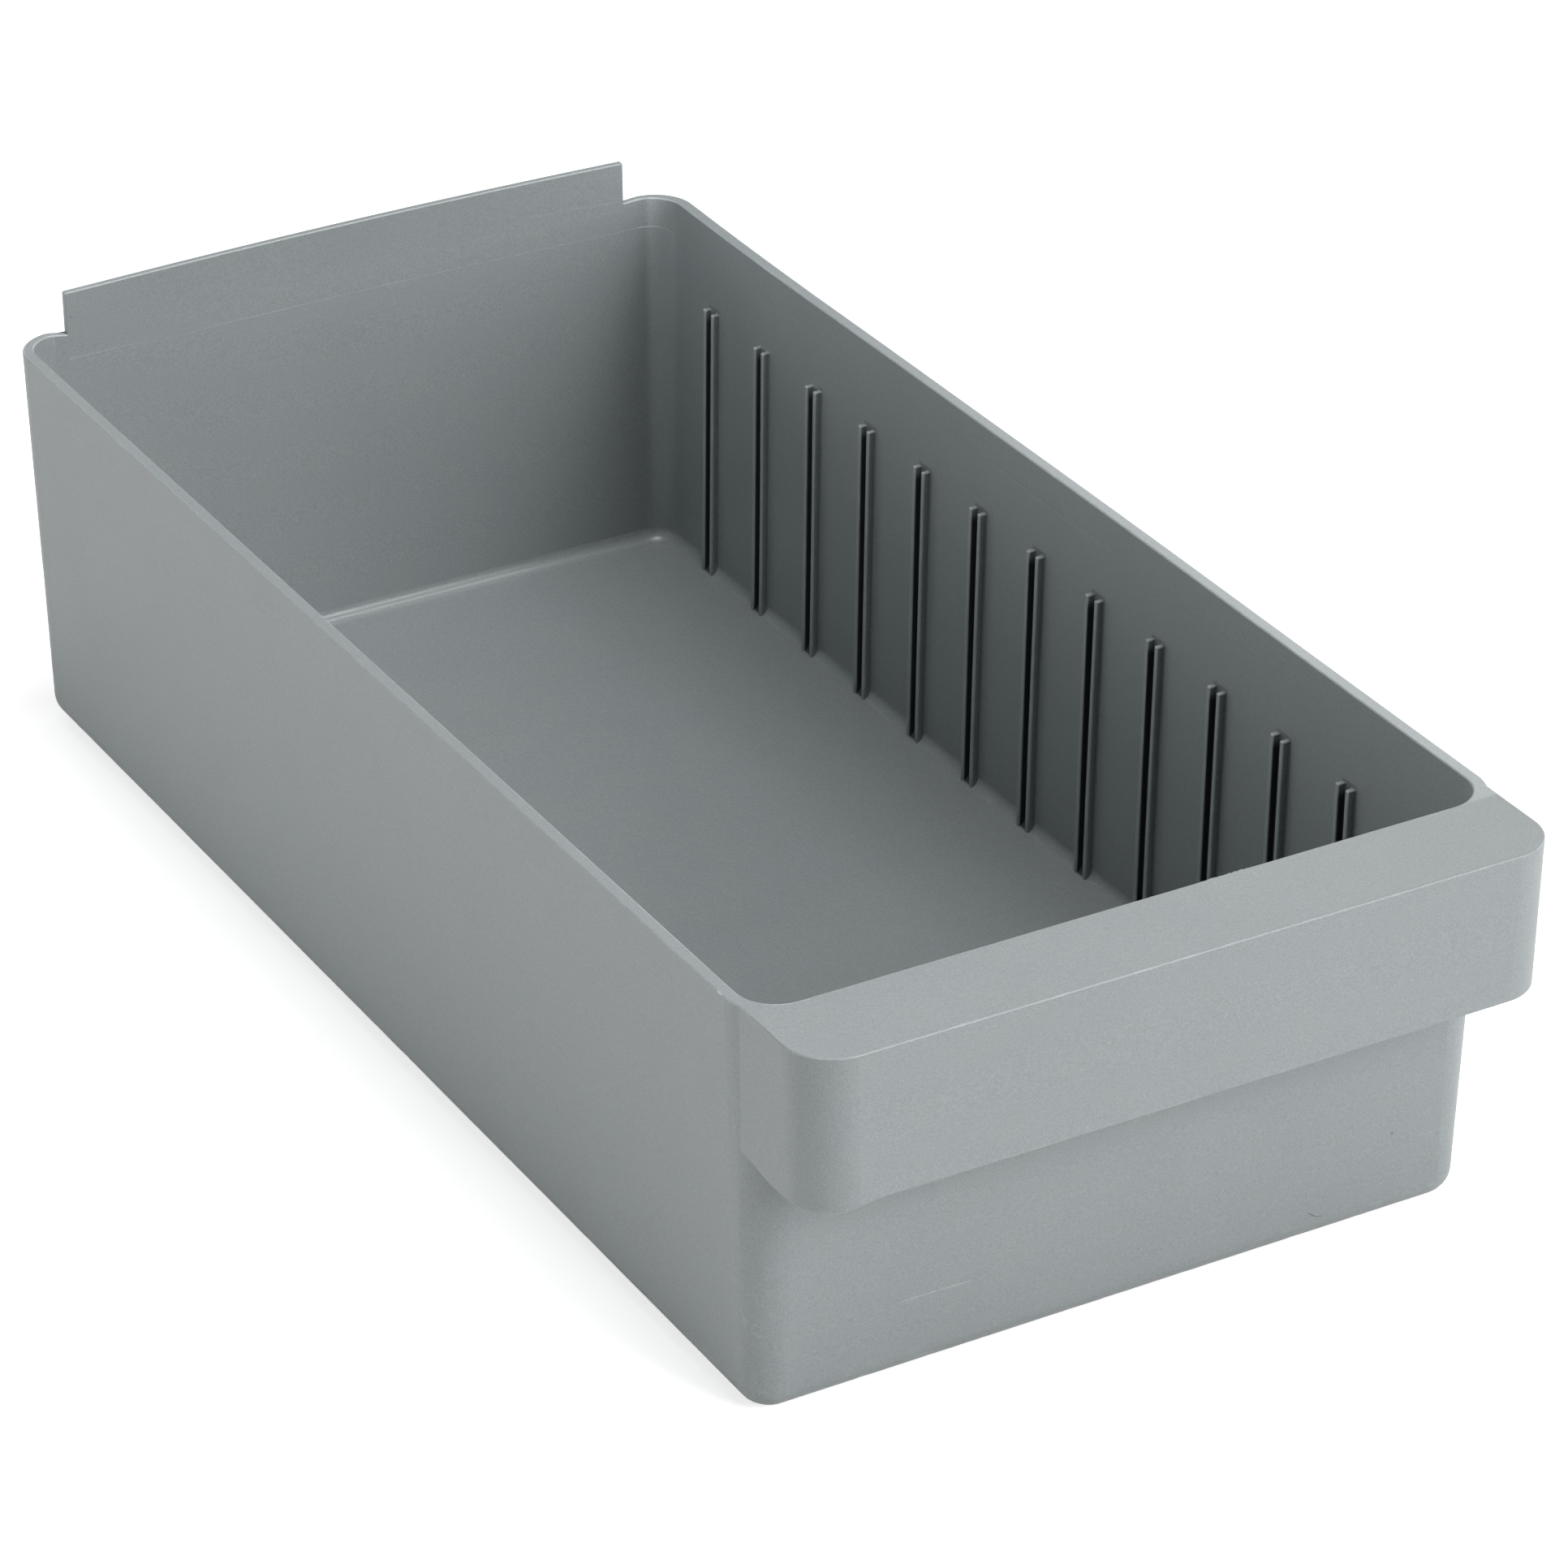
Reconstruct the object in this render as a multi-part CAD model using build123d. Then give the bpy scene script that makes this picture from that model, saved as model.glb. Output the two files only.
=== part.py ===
from build123d import *
import os

# Shelf drawer bin: one injection-moulded tub of grey plastic.
# +X is the bin's width, -Y its front (handle end), +Y its back (stop tab end), +Z up.
# Origin: centre of the overall footprint, on the plane of the flat underside.
# All sizes are in millimetres. Leans and pairs of radii run from the rim down to z = 0.

# ---- overall sizes ----
LENGTH = 457.2           # face of the handle to the back of the rim (18 in)
WIDTH = 212.7            # across the side rims (8-3/8 in)
RIM_H = 117.5            # underside to the top of the rim (4-5/8 in)
TAB_TOP = 130.6          # underside to the top of the rear stop tab

# ---- tub, outside ----
BACK_Y = LENGTH / 2      # outer face of the back wall, at the rim
FRONT_Y = -203.0         # outer face of the front wall, at the rim
LEAN_SIDE = 3.55         # how far each side wall leans in
LEAN_BACK = 0.9          # the same, back wall
LEAN_FRONT = 7.3         # the same, both faces of the front wall
R_BACK = (12.6, 8.0)     # outer vertical corners at the back: at the rim, at z = 0
R_FRONT = (13.2, 8.2)    # the same, at the front
R_FOOT = 7.4             # outer edge all round the underside

# ---- tub, inside ----
RIM_SIDE = 3.65          # thickness of the side walls at the rim
RIM_BACK = 2.4           # thickness of the back wall at the rim
RIM_FRONT = 3.2          # thickness of the front wall at the rim
IN_HALF = WIDTH / 2 - RIM_SIDE
IN_FRONT = FRONT_Y + RIM_FRONT
IN_BACK = BACK_Y - RIM_BACK
LEAN_IN_SIDE = 3.0       # lean of the inner faces of the side walls
LEAN_IN_BACK = 2.9       # the same, inner face of the back wall
FLOOR_Z = 7.1            # underside to the top of the floor
FLOOR_T = 3.2            # floor thickness
R_IN_BACK = (9.6, 7.0)   # inner vertical corners at the back: at the rim, at z = 0
R_IN_FRONT = (10.8, 7.5) # the same, at the front
R_COVE = 3.7             # inner edge all round the floor
BAND_H = 9.0             # height of the shallow relief band below the rim
BAND_D = 0.12            # depth of that band into the wall

# ---- underside: the floor is raised inside a perimeter foot, with one cross band ----
FOOT_W = 9.0             # width of the foot, measured in from the walls at the underside
FOOT_BAND = 14.0         # width of the cross band in the middle
FOOT_DRAFT = 0.35        # how far each side of a recess moves in towards the floor
R_RECESS = 6.0           # plan corners of a recess
R_RECESS_ROOT = 1.2      # where a recess meets the floor
R_FOOT_IN = 0.5          # inner edges of the foot
RECESS_HALF = WIDTH / 2 - LEAN_SIDE - FOOT_W
RECESS_FRONT = FRONT_Y + LEAN_FRONT + FOOT_W
RECESS_BACK = BACK_Y - LEAN_BACK - FOOT_W

# ---- handle: full-width box lip across the front, open underneath ----
HANDLE_INSET = 1.1       # how far each end of the handle lies inside the side rim
HANDLE_BOT = 76.3        # underside of the bin to the lower edge of the handle
HANDLE_LEAN = 0.95       # how far its face and ends lean in, top to bottom
HANDLE_ROOT_Y = FRONT_Y + 13.0  # where it ends, inside the tub's outline
R_HANDLE = 13.0          # its two outer corners
R_HANDLE_ROOT = 1.0      # its two corners inside the tub's outline
HANDLE_SKIN = 3.2        # thickness of its top, and least inset of the finger pull
GRIP_DRAFT = (0.6, 1.2)  # further inset of the finger pull: at its bottom, at its top
R_GRIP = 9.8             # inner corners of the finger pull

# ---- rear stop tab ----
TAB_HALF = 89.3          # half the width of the tab
TAB_T = 2.15             # thickness of the tab
TAB_SET_IN = 0.15        # its outer face to the outer edge of the rim

# ---- divider slots: pairs of upright ribs on the inside of both side walls ----
SLOT_PAIRS = 12
SLOT_FIRST_Y = 194.35    # middle of the rearmost pair
SLOT_PITCH = 30.41
RIB_T = 1.6              # thickness of one rib
RIB_SPACING = 4.65       # centre to centre of the two ribs of a pair
RIB_PROUD = 2.3          # how far a rib stands off the wall
RIB_TOP = 92.3           # underside of the bin to the top of a rib
R_RIB = 0.45             # rounding of a rib's long outer edges
ROOT = 0.35              # small bevel where a rib's sides meet the wall
R_RIB_TOP = 0.3          # rounding of a rib's top
PROBE_HEIGHTS = (20.0, 50.0, 85.0)  # where each rib is tested for material

# ---- small edge roundings ----
R_RIM = 0.45             # all edges of the rim and of the handle's top
R_LIP = 0.45             # edges of the handle's lower rim
R_TAB = 0.4              # top edges and ends of the tab

# ---- overlaps that keep cuts and joins clean ----
CUT_ABOVE = 5.0          # cavity and band, above the rim
RECESS_BELOW = 1.0       # recesses, below the underside
GRIP_BELOW = 2.0         # finger pull, below the handle
TAB_SINK = 1.0           # tab, down into the rim
RIB_SINK = 1.2           # ribs, down into the floor
RIB_EMBED = 0.9          # ribs, into the side wall
BEVEL_EMBED = 0.3        # rib root bevels, into the side wall
TOL = 1e-3               # for picking edges by position


def outline(half_x, front_y, back_y, r_front, r_back, z):
    """Plan wire: a rectangle with rounded corners, one radius at the front, one at the back."""
    corners = [(half_x, back_y, r_back, 0), (-half_x, back_y, r_back, 90),
               (-half_x, front_y, r_front, 180), (half_x, front_y, r_front, 270)]
    arcs = []
    for x, y, radius, turn in corners:
        centre_x = x - radius if x > 0 else x + radius
        centre_y = y - radius if turn < 180 else y + radius
        arcs.append(Edge.make_circle(radius, Plane((centre_x, centre_y, z)), turn, turn + 90))
    edges = []
    for i, arc in enumerate(arcs):
        edges += [arc, Edge.make_line(arc.end_point(), arcs[(i + 1) % 4].start_point())]
    return Face(Wire(edges)).outer_wire()


def lean(total, z):
    """The share, at height z, of a change that grows from 0 at the rim to total at z = 0."""
    return total * (RIM_H - z) / RIM_H


def leaning_block(half_x, front_y, back_y, r_front, r_back, low, high, lean_side, lean_back):
    """Block with leaning walls from z = low to z = high. The plan sizes are those at the rim."""
    def ring(z):
        return outline(half_x - lean(lean_side, z), front_y + lean(LEAN_FRONT, z),
                       back_y - lean(lean_back, z),
                       r_front[0] + lean(r_front[1] - r_front[0], z),
                       r_back[0] + lean(r_back[1] - r_back[0], z), z)
    return Solid.make_loft([ring(low), ring(high)], ruled=True)


def inner_block(low, grow=0.0):
    """Block along the inner wall faces, set out by grow, from z = low to above the rim."""
    return leaning_block(IN_HALF + grow, IN_FRONT - grow, IN_BACK + grow, R_IN_FRONT, R_IN_BACK,
                         low, RIM_H + CUT_ABOVE, LEAN_IN_SIDE, LEAN_IN_BACK)


def lowest_edges(solid):
    low = solid.bounding_box().min.Z
    return [e for e in solid.edges() if e.bounding_box().max.Z < low + TOL]


def highest_edges(solid):
    high = solid.bounding_box().max.Z
    return [e for e in solid.edges() if e.bounding_box().min.Z > high - TOL]


def recess(front_y, back_y):
    """One of the two shallow recesses under the floor, with drafted sides."""
    depth = FLOOR_Z - FLOOR_T

    def ring(z):
        draft = FOOT_DRAFT * z / depth
        return outline(RECESS_HALF - draft, front_y + draft, back_y - draft,
                       R_RECESS, R_RECESS, z)
    hole = Solid.make_loft([ring(-RECESS_BELOW), ring(depth)], ruled=True)
    return hole.fillet(R_RECESS_ROOT, highest_edges(hole))


def handle_block(inset_low, inset_high, radius, low, high):
    """Block behind the handle's face, its face and ends set in by a distance at each end."""
    def ring(inset, z):
        return outline(WIDTH / 2 - HANDLE_INSET - inset, -LENGTH / 2 + inset, HANDLE_ROOT_Y,
                       radius, R_HANDLE_ROOT, z)
    return Solid.make_loft([ring(inset_low, low), ring(inset_high, high)], ruled=True)


def handle_lip():
    """The handle, hollowed from below by the finger pull."""
    outer = handle_block(HANDLE_LEAN, 0, R_HANDLE, HANDLE_BOT, RIM_H)
    grip = handle_block(HANDLE_SKIN + GRIP_DRAFT[0], HANDLE_SKIN + GRIP_DRAFT[1], R_GRIP,
                        HANDLE_BOT - GRIP_BELOW, RIM_H - HANDLE_SKIN)
    return outer - grip


def bin_shell():
    """Tub and handle, with all their edges rounded."""
    tub = leaning_block(WIDTH / 2, FRONT_Y, BACK_Y, R_FRONT, R_BACK, 0, RIM_H,
                        LEAN_SIDE, LEAN_BACK)
    tub = tub.fillet(R_FOOT, lowest_edges(tub))
    cavity = inner_block(FLOOR_Z)
    cavity = cavity.fillet(R_COVE, lowest_edges(cavity))
    band = inner_block(RIM_H - BAND_H, grow=BAND_D)
    recesses = [recess(RECESS_FRONT, -FOOT_BAND / 2), recess(FOOT_BAND / 2, RECESS_BACK)]
    shell = (tub + handle_lip() - cavity - band - recesses).solid()

    shell = shell.fillet(R_RIM, [e for e in shell.edges()
                                 if e.bounding_box().min.Z > RIM_H - TOL])
    shell = shell.fillet(R_LIP, [e for e in shell.edges()
                                 if abs(e.bounding_box().min.Z - HANDLE_BOT) < TOL
                                 and e.bounding_box().max.Z < HANDLE_BOT + TOL
                                 and e.center().Y < FRONT_Y - 5])
    margin = 0.5  # takes in the recess edges, but not the outer edge of the foot
    return shell.fillet(R_FOOT_IN, [
        e for e in shell.edges()
        if e.bounding_box().max.Z < TOL
        and abs(e.center().X) < RECESS_HALF + margin
        and RECESS_FRONT - margin < e.center().Y < RECESS_BACK + margin])


def stop_tab():
    """Flat tab standing on the back rim."""
    bottom = RIM_H - TAB_SINK
    tab = (Pos(0, BACK_Y - TAB_SET_IN - TAB_T / 2, (bottom + TAB_TOP) / 2)
           * Box(2 * TAB_HALF, TAB_T, TAB_TOP - bottom))
    return tab.solid().fillet(R_TAB, [
        e for e in tab.edges()
        if e.center().Z > RIM_H
        and (e.center().Z > TAB_TOP - TOL or abs(e.center().X) > TAB_HALF - TOL)])


def rib(side, y):
    """One upright rib on the side wall, following the wall's lean down into the floor."""
    low = FLOOR_Z - RIB_SINK
    lean_in = lean(LEAN_IN_SIDE, low) - lean(LEAN_IN_SIDE, RIB_TOP)
    wall = IN_HALF - lean(LEAN_IN_SIDE, low)
    tip = wall - RIB_PROUD
    half = RIB_T / 2
    root_half = half + ROOT + BEVEL_EMBED
    arc_mid = R_RIB * 0.293  # middle of a corner arc, in from the corner: 1 - cos 45
    with BuildSketch(Plane.XY.offset(low)) as profile:
        with BuildLine():
            Polyline((tip + R_RIB, half), (wall - ROOT, half), (wall + BEVEL_EMBED, root_half),
                     (wall + RIB_EMBED, root_half), (wall + RIB_EMBED, -root_half),
                     (wall + BEVEL_EMBED, -root_half), (wall - ROOT, -half),
                     (tip + R_RIB, -half))
            ThreePointArc((tip + R_RIB, -half), (tip + arc_mid, -half + arc_mid),
                          (tip, -half + R_RIB))
            Line((tip, -half + R_RIB), (tip, half - R_RIB))
            ThreePointArc((tip, half - R_RIB), (tip + arc_mid, half - arc_mid),
                          (tip + R_RIB, half))
        make_face()
    along = Vector(lean_in, 0, RIB_TOP - low)
    bar = extrude(profile.sketch, amount=along.length, dir=along.normalized()).solid()
    # only the top edges clear of the wall and of the root bevels
    bar = bar.fillet(R_RIB_TOP, [e for e in highest_edges(bar)
                                 if e.center().X < wall + lean_in - 0.3])
    if side < 0:
        bar = mirror(bar, about=Plane.YZ)
    return Pos(0, y, 0) * bar


def has_rib(solid, side, y):
    """True if the solid has material at every probe height of the rib at this place."""
    return all(solid.is_inside(
        Vector(side * (IN_HALF - lean(LEAN_IN_SIDE, z) - RIB_PROUD / 2), y, z))
        for z in PROBE_HEIGHTS)


def bin_body():
    """The whole bin: shell, stop tab and ribs."""
    places = [(side, SLOT_FIRST_Y - i * SLOT_PITCH + j * RIB_SPACING / 2)
              for side in (-1, 1) for i in range(SLOT_PAIRS) for j in (-1, 1)]
    body = (bin_shell() + stop_tab() + [rib(*place) for place in places]).solid()
    # joining many ribs at once can lose some, so any missing one is added by itself
    for place in places:
        if not has_rib(body, *place):
            body = (body + rib(*place)).solid()
    assert all(has_rib(body, *place) for place in places) and body.is_valid
    return body


os.makedirs("parts", exist_ok=True)
export_step(bin_body(), "parts/bin_body.step")
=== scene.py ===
import bpy
import bmesh
import math
import numpy as np
from mathutils import Matrix, Vector


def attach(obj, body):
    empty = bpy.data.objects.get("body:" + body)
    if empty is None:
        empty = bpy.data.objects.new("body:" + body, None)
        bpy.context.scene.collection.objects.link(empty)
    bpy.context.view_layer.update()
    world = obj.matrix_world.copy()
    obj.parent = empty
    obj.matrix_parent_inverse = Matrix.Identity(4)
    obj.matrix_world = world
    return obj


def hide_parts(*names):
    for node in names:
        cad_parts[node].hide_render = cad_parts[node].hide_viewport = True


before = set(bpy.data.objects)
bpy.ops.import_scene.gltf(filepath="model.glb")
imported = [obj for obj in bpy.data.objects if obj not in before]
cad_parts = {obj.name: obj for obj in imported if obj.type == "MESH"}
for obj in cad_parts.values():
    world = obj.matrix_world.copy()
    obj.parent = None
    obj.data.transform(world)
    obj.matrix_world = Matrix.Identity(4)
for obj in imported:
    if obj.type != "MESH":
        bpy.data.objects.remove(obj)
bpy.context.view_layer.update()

scene = bpy.context.scene

# ------------------------------------------------------------------ helpers


def smooth(x, a, b):
    t = np.clip((x - a) / (b - a), 0.0, 1.0)
    return t * t * (3 - 2 * t)


class Tree:
    """Small wrapper that makes node graphs readable."""

    def __init__(self, tree):
        self.t = tree

    def node(self, kind, **props):
        n = self.t.nodes.new(kind)
        for k, v in props.items():
            setattr(n, k, v)
        return n

    def link(self, a, b):
        self.t.links.new(a, b)

    def put(self, socket, value):
        if isinstance(value, bpy.types.NodeSocket):
            self.link(value, socket)
        else:
            socket.default_value = value

    def math(self, op, a, b=0.0, c=None, clamp=False):
        n = self.node("ShaderNodeMath", operation=op, use_clamp=clamp)
        self.put(n.inputs[0], a)
        self.put(n.inputs[1], b)
        if c is not None:
            self.put(n.inputs[2], c)
        return n.outputs[0]

    def vec(self, op, a, b=(0, 0, 0), scale=None):
        n = self.node("ShaderNodeVectorMath", operation=op)
        self.put(n.inputs[0], a)
        self.put(n.inputs[1], b)
        if scale is not None:
            self.put(n.inputs["Scale"], scale)
        return n.outputs["Value"] if op in ("DOT_PRODUCT", "LENGTH") else n.outputs["Vector"]

    def ramp(self, value, lo, hi, out_lo=0.0, out_hi=1.0):
        n = self.node("ShaderNodeMapRange", interpolation_type="SMOOTHSTEP")
        for i, v in enumerate((value, lo, hi, out_lo, out_hi)):
            self.put(n.inputs[i], v)
        return n.outputs[0]

    def noise(self, coord, scale, detail=2.0, rough=0.5, stretch=None):
        if stretch is not None:
            coord = self.vec("MULTIPLY", coord, stretch)
        n = self.node("ShaderNodeTexNoise")
        self.put(n.inputs["Vector"], coord)
        self.put(n.inputs["Scale"], scale)
        self.put(n.inputs["Detail"], detail)
        self.put(n.inputs["Roughness"], rough)
        return n.outputs["Fac"]


# ------------------------------------------------------------------ the bin
# The visual piece starts from the CAD shell, keeps its surface normals, gets extra edge loops, and is
# bent by tenths of a millimetre the way a cooled moulding is: bowed back wall and tab, bowed right rim.

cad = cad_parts["bin_body"]
mesh = cad.data.copy()
mesh.name = "bin_shell"
normals = np.zeros(len(mesh.loops) * 3, np.float32)
mesh.corner_normals.foreach_get("vector", normals)
keep = mesh.attributes.new("keep_normal", "FLOAT_VECTOR", "CORNER")
keep.data.foreach_set("vector", normals)

bm = bmesh.new()
bm.from_mesh(mesh)
bmesh.ops.remove_doubles(bm, verts=bm.verts[:], dist=2e-6)

def extent(f, axis):
    c = [v.co[axis] for v in f.verts]
    return min(c), max(c)


def cut_all(axis, values, shortest, where=None):
    """Adds edge loops on the planes axis = value across every face longer than shortest along that axis."""
    live = {f for f in bm.faces if extent(f, axis)[1] - extent(f, axis)[0] > shortest and (where is None or where(f))}
    for value in values:
        faces = [f for f in live if extent(f, axis)[0] < value < extent(f, axis)[1]]
        faces.sort(key=lambda f: f.index)
        if not faces:
            continue
        edges = list(dict.fromkeys(e for f in faces for e in f.edges))
        verts = list(dict.fromkeys(v for f in faces for v in f.verts))
        at, no = [0, 0, 0], [0, 0, 0]
        at[axis], no[axis] = value, 1
        got = bmesh.ops.bisect_plane(bm, geom=verts + edges + faces, plane_co=at, plane_no=no, dist=1e-6)
        bm.faces.index_update()
        live = {f for f in live if f.is_valid}
        live |= {g for g in got["geom"] if isinstance(g, bmesh.types.BMFace) and extent(g, axis)[1] - extent(g, axis)[0] > shortest}


cut_all(0, [k * 0.0105 + 0.0003 for k in range(-9, 10)], 0.004)
cut_all(1, [k * 0.0145 - 0.0021 for k in range(-14, 16)], 0.004)
cut_all(2, [0.0302, 0.0552, 0.0797, 0.1012], 0.004)
# a short stretch of moulding flash sits on the inner edge of the front rim: fine loops to carry it
cut_all(0, [0.0130 + k * 0.00062 for k in range(42)], 0.0007, lambda f: any(
    0.0100 < v.co.x < 0.0420 and abs(v.co.y + 0.2006) < 0.0012 and v.co.z > 0.1160 for v in f.verts))

# narrow faces that turn a convex corner take the wear and a painted edge highlight
bm.faces.ensure_lookup_table()
turn = np.zeros(len(bm.faces), np.float32)
for f in bm.faces:
    longest = max(e.calc_length() for e in f.edges)
    if f.calc_area() / longest > 0.00060:
        continue
    bend = sum(max(0.0, e.calc_face_angle_signed(0.0)) for e in f.edges if len(e.link_faces) == 2)
    turn[f.index] = min(1.0, bend / 0.6)
bm.to_mesh(mesh)
bm.free()
mesh.attributes.new("wear_and_sheen", "FLOAT", "FACE").data.foreach_set("value", turn)

co = np.zeros(len(mesh.vertices) * 3, np.float32)
mesh.vertices.foreach_get("co", co)
co = co.reshape(-1, 3).astype(np.float64)
x, y, z = co[:, 0], co[:, 1], co[:, 2]

# back wall and stop tab bowed
near_back = smooth(y, 0.185, 0.2262) * smooth(z, 0.015, 0.105)
mid = 1 - ((x - 0.013) / 0.092) ** 2
corner = smooth(np.abs(x), 0.0885, 0.0955)
bow_z = (0.00108 * mid - 0.00040 - 0.00030 * smooth(z, 0.1172, 0.130)) * (1 - corner) + 0.00035 * corner
dz = near_back * bow_z
dy = near_back * 0.00045 * np.clip(mid, 0, 1) * (1 - corner)
# right rim bowed outwards in the middle, a little inwards near the back
on_right = smooth(x, 0.085, 0.101) * smooth(z, 0.02, 0.112)
dx = on_right * (0.00048 * np.exp(-(((y + 0.028) / 0.085) ** 2)) - 0.00042 * np.exp(-(((y - 0.155) / 0.045) ** 2)))
# left end of the handle hangs a little
on_lip = smooth(-x, 0.086, 0.0985) * smooth(-y, 0.2005, 0.2065) * (1 - smooth(z, 0.079, 0.104))
dz = dz - 0.00165 * on_lip
# moulding flash: a ragged lip a fifth of a millimetre high
rng = np.random.default_rng(5)
knots = 0.0130 + np.arange(43) * 0.00062
ragged = np.interp(x, knots, rng.random(43) ** 1.3)
flash = np.exp(-((x - 0.0268) / 0.0078) ** 4) * (1 - smooth(np.abs(y + 0.2004), 0.0003, 0.0007)) * smooth(z, 0.1169, 0.1173)
dy = dy + 0.00024 * ragged * flash
dz = dz + 0.00012 * ragged * flash
co[:, 0] += dx
co[:, 1] += dy
co[:, 2] += dz
mesh.vertices.foreach_set("co", co.astype(np.float32).ravel())

kept = np.zeros(len(mesh.loops) * 3, np.float32)
mesh.attributes["keep_normal"].data.foreach_get("vector", kept)
kept = kept.reshape(-1, 3)
kept /= np.maximum(np.linalg.norm(kept, axis=1, keepdims=True), 1e-9)
mesh.polygons.foreach_set("use_smooth", [True] * len(mesh.polygons))
mesh.update()
mesh.normals_split_custom_set([tuple(n) for n in kept])
mesh.attributes.remove(mesh.attributes["keep_normal"])

shell = bpy.data.objects.new("bin_shell", mesh)
scene.collection.objects.link(shell)
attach(shell, "root")
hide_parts("bin_body")

# ------------------------------------------------------------------ satin grey plastic


def stroke_group():
    """1 on a thin straight stroke lying in a face, 0 away from it."""
    g = bpy.data.node_groups.new("stroke", "ShaderNodeTree")
    for name, kind in (("P", "NodeSocketVector"), ("From", "NodeSocketVector"), ("Along", "NodeSocketVector"),
                       ("Face", "NodeSocketVector"), ("Inverse length squared", "NodeSocketFloat"),
                       ("Half width", "NodeSocketFloat"), ("Fade", "NodeSocketFloat")):
        g.interface.new_socket(name, in_out="INPUT", socket_type=kind)
    g.interface.new_socket("Mask", in_out="OUTPUT", socket_type="NodeSocketFloat")
    t = Tree(g)
    i, o = t.node("NodeGroupInput"), t.node("NodeGroupOutput")
    rel = t.vec("SUBTRACT", i.outputs["P"], i.outputs["From"])
    depth = t.vec("DOT_PRODUCT", rel, i.outputs["Face"])
    flat = t.vec("SUBTRACT", rel, t.vec("SCALE", i.outputs["Face"], scale=depth))
    s = t.math("MULTIPLY", t.vec("DOT_PRODUCT", flat, i.outputs["Along"]), i.outputs["Inverse length squared"], clamp=True)
    d = t.vec("LENGTH", t.vec("SUBTRACT", flat, t.vec("SCALE", i.outputs["Along"], scale=s)))
    core = t.ramp(d, t.math("MULTIPLY", i.outputs["Half width"], 0.35), t.math("MULTIPLY", i.outputs["Half width"], 1.45), 1.0, 0.0)
    core = t.math("MULTIPLY", core, t.math("LESS_THAN", t.math("ABSOLUTE", depth), 0.0009))
    ends = t.math("MULTIPLY", t.math("MULTIPLY", s, t.math("SUBTRACT", 1.0, s)), 4.0)
    ends = t.math("POWER", ends, i.outputs["Fade"])
    t.link(t.math("MULTIPLY", core, ends), o.inputs["Mask"])
    return g


STROKE = stroke_group()


def stroke(t, P, a, b, face, half_width, fade=0.0):
    n = t.node("ShaderNodeGroup", node_tree=STROKE)
    a, b = Vector(a), Vector(b)
    t.put(n.inputs["P"], P)
    n.inputs["From"].default_value = a
    n.inputs["Along"].default_value = b - a
    n.inputs["Face"].default_value = Vector(face).normalized()
    n.inputs["Inverse length squared"].default_value = 1 / max((b - a).length_squared, 1e-12)
    n.inputs["Half width"].default_value = half_width
    n.inputs["Fade"].default_value = fade
    return n.outputs["Mask"]


FRONT, BACK, TOP = (0, -0.998, -0.062), (0, -1, 0.008), (0, 0, 1)
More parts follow.
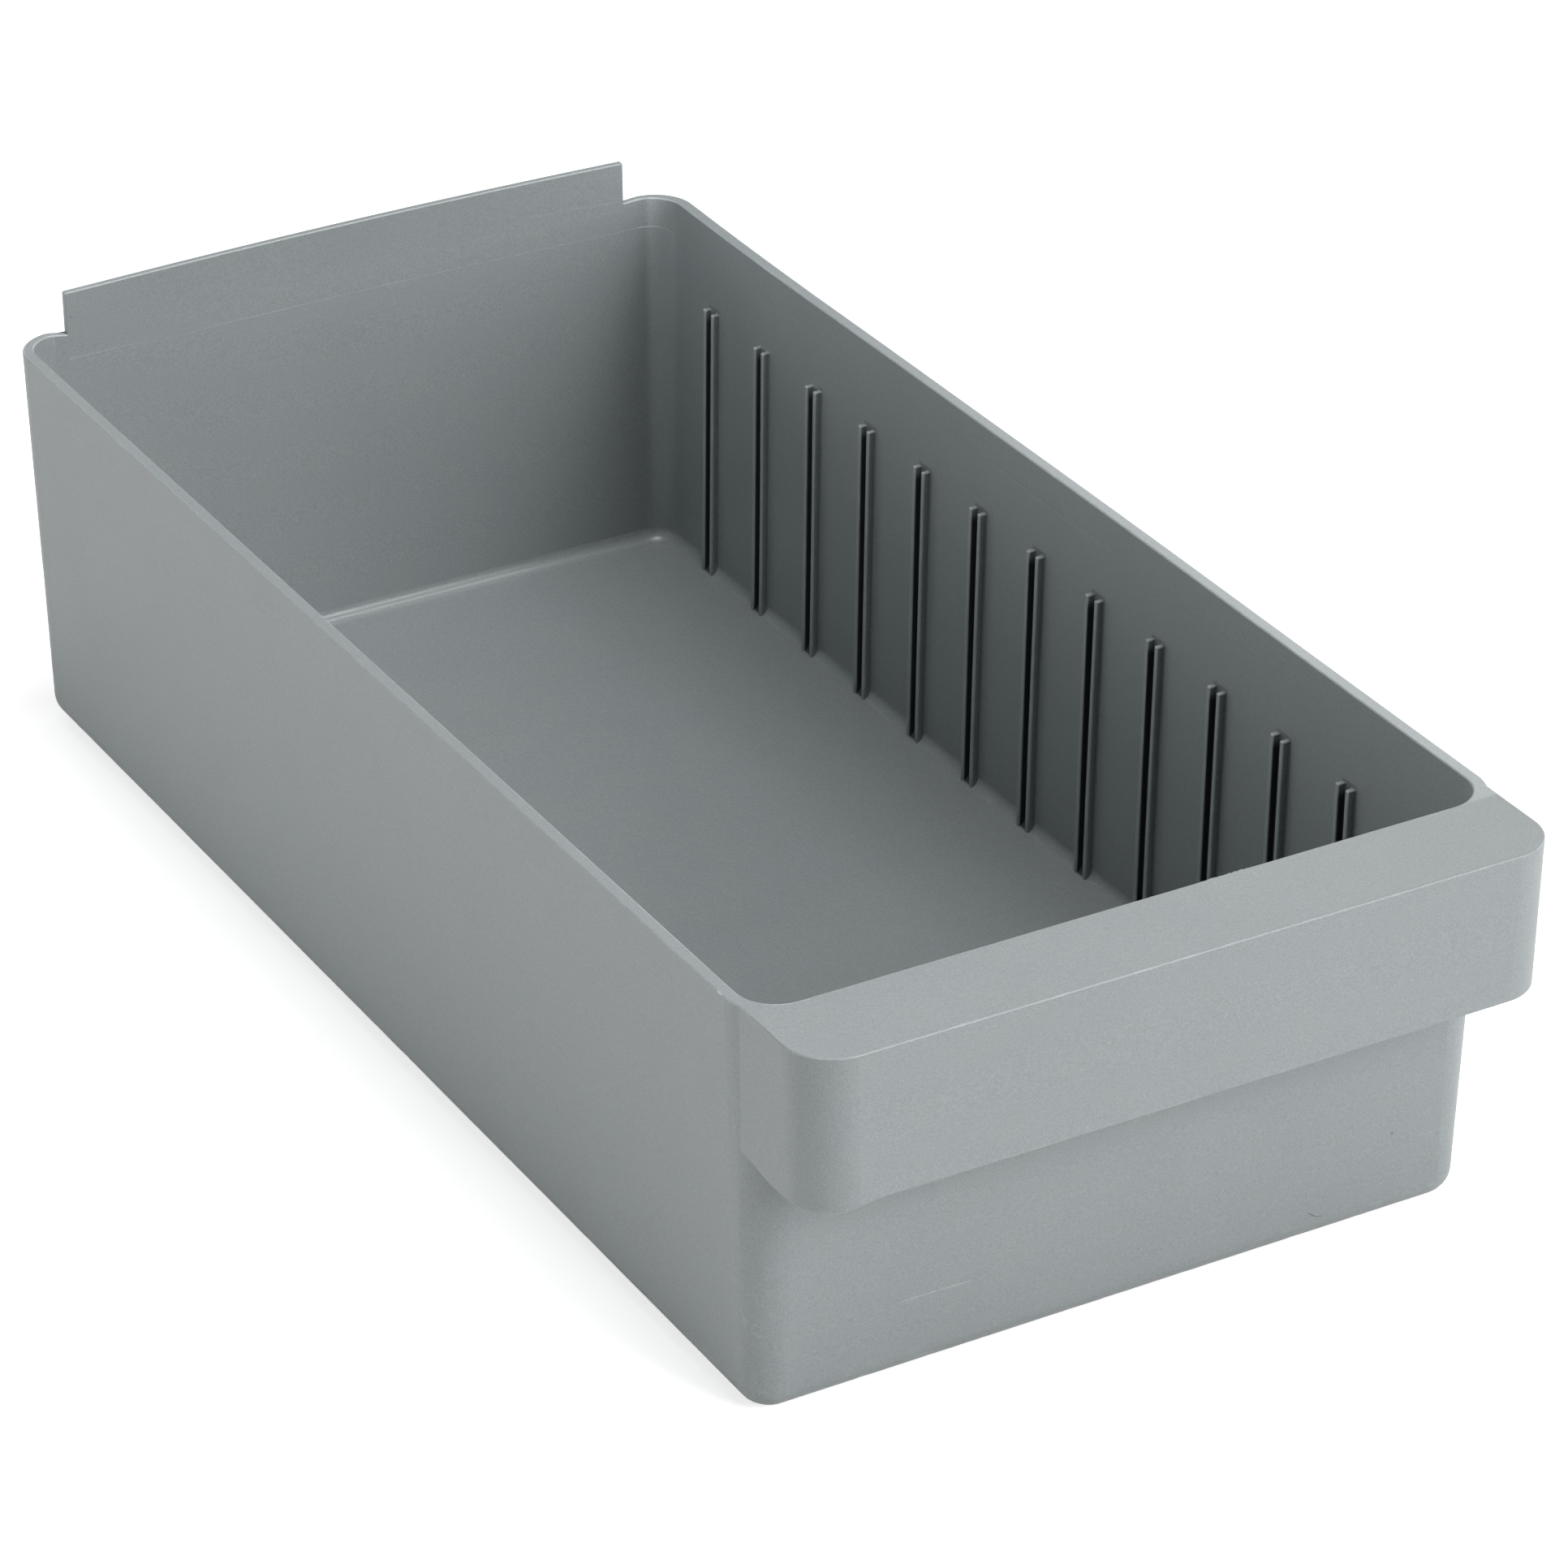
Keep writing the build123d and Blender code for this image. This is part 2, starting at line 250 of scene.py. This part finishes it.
# marks on the moulding and painted highlights along its small ledges and edges: from, to, face it lies in, half width
# (m), fade towards the ends, strength (positive = lighter)
MARKS = [
    # long light scratch and small dark specks low on the front
    ((-0.06408, -0.19710, 0.02246), (-0.05300, -0.19709, 0.02250), FRONT, 0.00013, 0.5, 0.40),
    ((-0.05500, -0.19709, 0.02250), (-0.04238, -0.19707, 0.02210), FRONT, 0.00011, 0.5, 0.55),
    ((0.07930, -0.19732, 0.02618), (0.07975, -0.19732, 0.02605), FRONT, 0.00024, 0.0, -0.55),
    ((0.00500, -0.19666, 0.01537), (0.00512, -0.19666, 0.01534), FRONT, 0.00020, 0.0, -0.50),
    ((0.05570, -0.19628, 0.00940), (0.05778, -0.19617, 0.00763), FRONT, 0.00015, 0.2, -0.60),
    ((0.05778, -0.19617, 0.00763), (0.06060, -0.19600, 0.00680), FRONT, 0.00013, 0.2, -0.55),
    # witness line of the mould insert across the back wall, with a small cross at its left end; painted lighter, partly
    # the line itself and partly a painted highlight on its small ledge
    ((-0.08856, 0.22626, 0.10945), (-0.04747, 0.22651, 0.10912), BACK, 0.00016, 0.10, 0.26),
    ((-0.04900, 0.22651, 0.10913), (-0.00612, 0.22668, 0.10917), BACK, 0.00015, 0.35, 0.17),
    ((-0.08930, 0.22626, 0.11030), (-0.08780, 0.22626, 0.10860), BACK, 0.00013, 0.1, 0.22),
    ((-0.08780, 0.22626, 0.11000), (-0.08950, 0.22626, 0.10900), BACK, 0.00012, 0.1, 0.16),
    ((0.01088, 0.22670, 0.10922), (0.01719, 0.22670, 0.10932), BACK, 0.00013, 0.2, 0.14),
    # its arc round the back right corner, painted bright as a highlight
    ((0.09342, 0.22613, 0.10869), (0.09702, 0.22523, 0.10875), (-0.24, -0.97, 0), 0.00015, 0.25, 0.55),
    ((0.09680, 0.22530, 0.10875), (0.09995, 0.22306, 0.10865), (-0.58, -0.81, 0), 0.00014, 0.25, 0.42),
    ((0.09990, 0.22310, 0.10865), (0.10202, 0.21936, 0.10777), (-0.87, -0.49, 0), 0.00014, 0.30, 0.30),
    # painted highlight on a faint ledge where the tab meets the wall on the right
    ((0.05492, 0.22666, 0.11975), (0.07093, 0.22657, 0.11930), BACK, 0.00014, 0.4, 0.12),
    ((0.07000, 0.22657, 0.11932), (0.08892, 0.22644, 0.11819), BACK, 0.00016, 0.1, 0.16),
    # witness line along the right wall; painted lighter, partly the line itself and partly a painted highlight on its
    # small ledge
    ((0.10272, 0.03768, 0.10802), (0.10285, 0.00461, 0.10740), (-1, 0, 0.027), 0.00016, 0.5, 0.20),
    ((0.10285, 0.00561, 0.10740), (0.10293, -0.02510, 0.10815), (-1, 0, 0.027), 0.00016, 0.5, 0.20),
    # dark speck on the tab, rubbed nick on the left rim
    ((-0.08800, 0.22630, 0.12200), (-0.08784, 0.22630, 0.12190), BACK, 0.00022, 0.0, -0.40),
    ((-0.10618, -0.18640, 0.11728), (-0.10618, -0.18860, 0.11728), (-0.76, 0, 0.64), 0.00028, 0.2, 0.60),
    # painted highlight: a pale line round the inner front left corner of the rim
    ((-0.10002, -0.19722, 0.11750), (-0.09858, -0.19849, 0.11750), TOP, 0.00016, 0.4, 0.30),
    ((-0.09858, -0.19849, 0.11750), (-0.09695, -0.19944, 0.11750), TOP, 0.00017, 0.1, 0.50),
    ((-0.09695, -0.19944, 0.11750), (-0.09414, -0.20022, 0.11750), TOP, 0.00017, 0.1, 0.50),
    ((-0.09414, -0.20022, 0.11750), (-0.09215, -0.20053, 0.11750), TOP, 0.00016, 0.1, 0.42),
    ((-0.09215, -0.20053, 0.11750), (-0.08916, -0.20099, 0.11750), TOP, 0.00015, 0.5, 0.34),
    # faint flow line at the foot of the front, right end
    ((0.08588, -0.19712, 0.02281), (0.09700, -0.19711, 0.02255), FRONT, 0.00016, 0.5, 0.12),
]

BASE = (0.252, 0.2765, 0.2805)


def plastic(name, marks):
    m = bpy.data.materials.new(name)
    m.use_nodes = True
    m.node_tree.nodes.clear()
    t = Tree(m.node_tree)
    out = t.node("ShaderNodeOutputMaterial")
    bsdf = t.node("ShaderNodeBsdfPrincipled")
    t.link(bsdf.outputs[0], out.inputs["Surface"])
    P = t.node("ShaderNodeTexCoord").outputs["Object"]

    # tone: slow clouding, flow streaks down the walls, fine pigment grain
    cloud = t.noise(P, 6.0, 3.0, 0.55)
    patch = t.noise(P, 38.0, 4.0, 0.6)
    streak = t.noise(P, 30.0, 3.0, 0.55, stretch=(1.0, 1.0, 0.12))
    grain = t.noise(P, 1900.0, 2.0, 0.6)
    coarse = t.noise(P, 420.0, 2.0, 0.5)
    tone = t.math("ADD", 1.0, t.math("MULTIPLY", t.math("SUBTRACT", cloud, 0.5), 0.07))
    tone = t.math("ADD", tone, t.math("MULTIPLY", t.math("SUBTRACT", patch, 0.5), 0.035))
    tone = t.math("ADD", tone, t.math("MULTIPLY", t.math("SUBTRACT", streak, 0.5), 0.045))
    tone = t.math("ADD", tone, t.math("MULTIPLY", t.math("SUBTRACT", grain, 0.5), 0.55))
    tone = t.math("ADD", tone, t.math("MULTIPLY", t.math("SUBTRACT", coarse, 0.5), 0.06))

    # painted highlight and wear on the convex roundings: all of them painted a little lighter as an edge highlight,
    # with paler scuffs broken up along their length, partly wear and partly painted highlight
    w = t.node("ShaderNodeAttribute", attribute_name="wear_and_sheen").outputs["Fac"]
    xyz = t.node("ShaderNodeSeparateXYZ")
    t.link(P, xyz.inputs[0])
    px, py, pz = xyz.outputs
    step_line = t.math("MULTIPLY", t.math("LESS_THAN", t.math("ABSOLUTE", t.math("SUBTRACT", pz, 0.1085)), 0.0030), t.math("GREATER_THAN", t.math("ABSOLUTE", px), 0.1005))
    w = t.math("MULTIPLY", w, t.math("SUBTRACT", 1.0, step_line))
    broken = t.ramp(t.noise(P, 95.0, 5.0, 0.65), 0.48, 0.66)
    scuff_and_sheen = t.math("MULTIPLY", w, broken)
    tone = t.math("ADD", tone, t.math("MULTIPLY", w, 0.04))
    tone = t.math("ADD", tone, t.math("MULTIPLY", scuff_and_sheen, 0.26))

    # painted shade in the narrow slots between paired ribs: the slot walls and rib faces are painted up to 80 % darker
    step = t.math("PINGPONG", t.math("SUBTRACT", py, 0.19435), 0.030410 / 2)
    reach = t.math("SUBTRACT", t.math("ABSOLUTE", px), t.math("MULTIPLY_ADD", pz, 0.02494, 0.09753))
    inside = t.math("LESS_THAN", reach, 0.0031)
    slot_shade = t.math("MULTIPLY", t.ramp(step, 0.00158, 0.00184, 1.0, 0.0), t.ramp(reach, -0.0001, 0.0006))
    slot_shade = t.math("MULTIPLY", slot_shade, t.ramp(pz, 0.0880, 0.0915, 1.0, 0.0))
    along = t.math("LESS_THAN", t.math("ABSOLUTE", t.math("ADD", py, -0.0271)), 0.1730)
    slot_shade = t.math("MULTIPLY", t.math("MULTIPLY", slot_shade, inside), t.math("MULTIPLY", along, t.ramp(pz, 0.0064, 0.0072)))
    tone = t.math("MULTIPLY", tone, t.math("MULTIPLY_ADD", slot_shade, -0.80, 1.0))
    # painted highlights on the tips and tops of the ribs, painted shade at their roots beside the wall
    near_rib = t.math("MULTIPLY", t.math("LESS_THAN", pz, 0.0932), t.ramp(pz, 0.0080, 0.0120))
    near_rib = t.math("MULTIPLY", near_rib, inside)
    near_rib = t.math("MULTIPLY", near_rib, t.math("LESS_THAN", t.math("ABSOLUTE", t.math("ADD", py, -0.0271)), 0.1730))
    near_rib = t.math("MULTIPLY", near_rib, t.math("LESS_THAN", step, 0.00345))
    tip = t.math("MULTIPLY", t.ramp(reach, 0.00025, 0.00055, 1.0, 0.0), t.math("GREATER_THAN", reach, -0.0006))
    top = t.math("MULTIPLY", t.ramp(pz, 0.0917, 0.0921), t.math("LESS_THAN", reach, 0.00195))
    top = t.math("MULTIPLY", top, t.math("GREATER_THAN", reach, -0.0006))
    # the roots of the ribs beside the wall are painted darker as shade
    root = t.math("MULTIPLY", near_rib, t.ramp(reach, 0.0007, 0.0021))
    tone = t.math("MULTIPLY", tone, t.math("MULTIPLY_ADD", root, -0.30, 1.0))
    # the rib tips and tops are painted lighter as highlights
    rib_highlight = t.math("MULTIPLY", near_rib, t.math("MULTIPLY_ADD", tip, 0.22, t.math("MULTIPLY", top, 0.42)))
    tone = t.math("ADD", tone, rib_highlight)

    # painted light on the top faces: the tops of the rims painted paler, and the top of the handle painted paler at its
    # left end and a little darker at its right end
    nrm = t.node("ShaderNodeSeparateXYZ")
    t.link(t.node("ShaderNodeNewGeometry").outputs["Normal"], nrm.inputs[0])
    nx, ny, nz = nrm.outputs
    high = t.math("GREATER_THAN", pz, 0.1150)
    on_handle = t.ramp(py, -0.2012, -0.1990, 1.0, 0.0)
    rim = t.math("MULTIPLY", t.math("MULTIPLY", high, t.ramp(nz, 0.05, 0.55)), t.math("SUBTRACT", 1.0, on_handle))
    tone = t.math("MULTIPLY", tone, t.math("MULTIPLY_ADD", rim, t.math("MULTIPLY_ADD", t.ramp(pz, 0.121, 0.126), 0.06, 0.21), 1.0))
    handle_top_light = t.math("MULTIPLY", t.math("MULTIPLY", high, t.ramp(nz, 0.90, 0.99)), on_handle)
    tone = t.math("MULTIPLY", tone, t.math("MULTIPLY_ADD", handle_top_light, t.math("MULTIPLY_ADD", px, -1.45, 0.07), 1.0))
    # painted shadow on the front of the tub under the lip of the handle
    under_lip_shadow = t.math("MULTIPLY", t.ramp(pz, 0.0610, 0.0740), t.math("MULTIPLY", t.ramp(py, -0.2040, -0.2032), t.math("LESS_THAN", py, -0.1900)))
    under_lip_shadow = t.math("MULTIPLY", t.math("MULTIPLY", under_lip_shadow, t.math("LESS_THAN", pz, 0.0800)), t.ramp(ny, -0.95, -0.85, 1.0, 0.0))
    tone = t.math("MULTIPLY", tone, t.math("MULTIPLY_ADD", under_lip_shadow, -0.12, 1.0))
    # painted light up the back right inner corner: the corner fillet and the right wall near it painted paler, more so
    # towards the back and higher up
    corner_light = t.math("MULTIPLY", t.ramp(nx, -0.50, -0.22, 1.0, 0.0), t.math("GREATER_THAN", px, 0.080))
    corner_light = t.math("MULTIPLY", corner_light, t.math("MULTIPLY_ADD", t.ramp(ny, -0.30, -0.01, 1.0, 0.0), 0.18, t.math("MULTIPLY", t.ramp(py, 0.080, 0.222), 0.36)))
    corner_light = t.math("MULTIPLY", t.math("MULTIPLY", corner_light, t.math("GREATER_THAN", py, 0.080)), t.ramp(pz, 0.000, 0.110, 0.14, 0.70))
    tone = t.math("MULTIPLY", tone, t.math("ADD", corner_light, 1.0))

    # single marks
    for a, b, face, hw, fade, strength in marks:
        tone = t.math("MULTIPLY", tone, t.math("MULTIPLY_ADD", stroke(t, P, a, b, face, hw, fade), strength, 1.0))

    # pigment leans slightly blue or slightly warm from place to place
    tint = t.node("ShaderNodeMix", data_type="RGBA")
    t.put(tint.inputs["Factor"], t.noise(P, 75.0, 3.0, 0.5))
    tint.inputs["A"].default_value = (BASE[0] * 0.991, BASE[1], BASE[2] * 1.012, 1)
    tint.inputs["B"].default_value = (BASE[0] * 1.009, BASE[1], BASE[2] * 0.988, 1)
    colour = t.vec("SCALE", tint.outputs["Result"], scale=tone)
    t.put(bsdf.inputs["Base Color"], colour)

    # roughness: satin, varying in smoother and rougher patches, a touch rougher on the convex roundings
    r = t.math("ADD", 0.31, t.math("MULTIPLY", t.math("SUBTRACT", t.noise(P, 26.0, 4.0, 0.6), 0.5), 0.16))
    r = t.math("ADD", r, t.math("MULTIPLY", t.math("SUBTRACT", coarse, 0.5), 0.03))
    r = t.math("MAXIMUM", t.math("ADD", r, t.math("MULTIPLY", w, 0.01), clamp=True), 0.283)
    t.put(bsdf.inputs["Roughness"], r)
    bsdf.inputs["IOR"].default_value = 1.49

    # surface: slow waviness of a cooled wall, fine moulded grain
    b1 = t.node("ShaderNodeBump")
    b1.inputs["Strength"].default_value = 1.0
    b1.inputs["Distance"].default_value = 0.00010
    t.put(b1.inputs["Height"], t.noise(P, 13.0, 2.0, 0.45))
    b2 = t.node("ShaderNodeBump")
    b2.inputs["Strength"].default_value = 0.2
    b2.inputs["Distance"].default_value = 0.000035
    t.put(b2.inputs["Height"], t.noise(P, 1900.0, 2.0, 0.6))
    t.link(b1.outputs[0], b2.inputs["Normal"])
    t.link(b2.outputs[0], bsdf.inputs["Normal"])
    return m


grey = plastic("grey_plastic", [])
marked = plastic("grey_plastic_marked", MARKS)
mesh.materials.clear()
mesh.materials.append(grey)
mesh.materials.append(marked)
cad.data.materials.clear()
cad.data.materials.append(grey)

# the marks are only worked out on the faces they touch
corner_vertex = np.zeros(len(mesh.loops), np.int32)
mesh.loops.foreach_get("vertex_index", corner_vertex)
starts = np.zeros(len(mesh.polygons), np.int32)
mesh.polygons.foreach_get("loop_start", starts)
low = np.minimum.reduceat(co[corner_vertex], starts, axis=0)
high = np.maximum.reduceat(co[corner_vertex], starts, axis=0)
touched = np.zeros(len(mesh.polygons), np.int32)
for a, b, face, hw, fade, strength in MARKS:
    lo, hi = np.minimum(a, b) - 0.0012, np.maximum(a, b) + 0.0012
    touched |= np.all((low < hi) & (high > lo), axis=1).astype(np.int32)
mesh.polygons.foreach_set("material_index", touched)
mesh.update()

# ------------------------------------------------------------------ floor, light, camera


def floor_material():
    m = bpy.data.materials.new("pale_floor")
    m.use_nodes = True
    m.node_tree.nodes.clear()
    t = Tree(m.node_tree)
    out = t.node("ShaderNodeOutputMaterial")
    bsdf = t.node("ShaderNodeBsdfPrincipled")
    t.link(bsdf.outputs[0], out.inputs["Surface"])
    bsdf.inputs["Base Color"].default_value = (0.80, 0.80, 0.80, 1)
    bsdf.inputs["Roughness"].default_value = 0.9
    bsdf.inputs["Specular IOR Level"].default_value = 0.1
    # the floor glows a little, and a little more as the camera sees it, like an evenly lit studio sweep
    path = t.node("ShaderNodeLightPath")
    bsdf.inputs["Emission Color"].default_value = (1, 1, 1, 1)
    t.put(bsdf.inputs["Emission Strength"], t.math("ADD", 0.021, t.math("MULTIPLY", path.outputs["Is Camera Ray"], 0.62)))
    return m


bpy.ops.mesh.primitive_plane_add(size=12, location=(0, 0, -0.0002))
floor = bpy.context.object
floor.name = "floor"
floor.data.materials.append(floor_material())


def area(name, azimuth, elevation, distance, size, watts, colour=(1, 1, 1)):
    a, e = math.radians(azimuth), math.radians(elevation)
    back = Vector((math.sin(a) * math.cos(e), -math.cos(a) * math.cos(e), math.sin(e)))
    light = bpy.data.lights.new(name, "AREA")
    light.shape, light.size, light.energy, light.color = "SQUARE", size, watts, colour
    o = bpy.data.objects.new(name, light)
    scene.collection.objects.link(o)
    o.location = Vector((0, 0, 0.06)) + back * distance
    o.rotation_mode = "QUATERNION"
    o.rotation_quaternion = (-back).to_track_quat("-Z", "Y")
    return o


for spec in (
    ("key_front_right_low", 30, 18, 3.0, 1.8, 50.5), ("key_front", 20, 32, 3.0, 1.0, 22.1), ("right_low", 60, 18, 3.0, 1.8, 4.4),
    ("above_right", 45, 70, 2.8, 1.0, 14.0), ("above_right_small", 60, 60, 2.6, 0.35, 5.0), ("back_right", 135, 20, 3.0, 1.2, 12.7),
    ("above", 0, 90, 1.3, 0.35, 5.9), ("above_left", -90, 78, 1.3, 0.3, 0.7), ("left_low", -90, 18, 1.5, 0.9, 4.7),
    ("left_floor", -90, 7, 1.4, 0.3, 2.1), ("left_floor_back", -120, 9, 1.4, 0.35, 3.1), ("back", 180, 20, 1.5, 0.6, 2.7),
    ("front_small", 15, 38, 1.3, 0.3, 1.6), ("front_low", 10, 20, 1.3, 0.25, 0.8), ("right_floor", 75, 6, 1.3, 0.25, 1.1),
):
    area(*spec)

world = bpy.data.worlds.new("studio")
scene.world = world
world.use_nodes = True
world.node_tree.nodes["Background"].inputs[0].default_value = (1, 1, 1, 1)
world.node_tree.nodes["Background"].inputs[1].default_value = 0.0

right = (0.8718864288797883, -0.4896169524673722, -0.009449602733069135)
down = (-0.24317130733609754, -0.41611730628509735, -0.8761929597403115)
ahead = (0.4250667834866694, 0.7662386229279996, -0.48186782659739746)
camera = bpy.data.cameras.new("camera")
camera.sensor_width = 36
camera.lens = 148.87511628224757
camera.clip_start, camera.clip_end = 0.1, 50
eye = bpy.data.objects.new("camera", camera)
scene.collection.objects.link(eye)
eye.matrix_world = Matrix((
    (right[0], -down[0], -ahead[0], -0.7236907810358891),
    (right[1], -down[1], -ahead[1], -1.3327024847156376),
    (right[2], -down[2], -ahead[2], 0.8881636357048824),
    (0, 0, 0, 1)))
scene.camera = eye

scene.view_settings.view_transform = "Standard"
scene.view_settings.look = "None"
scene.view_settings.exposure = 0.0
scene.view_settings.gamma = 1.0
scene.cycles.max_bounces = 8
scene.cycles.diffuse_bounces = 6
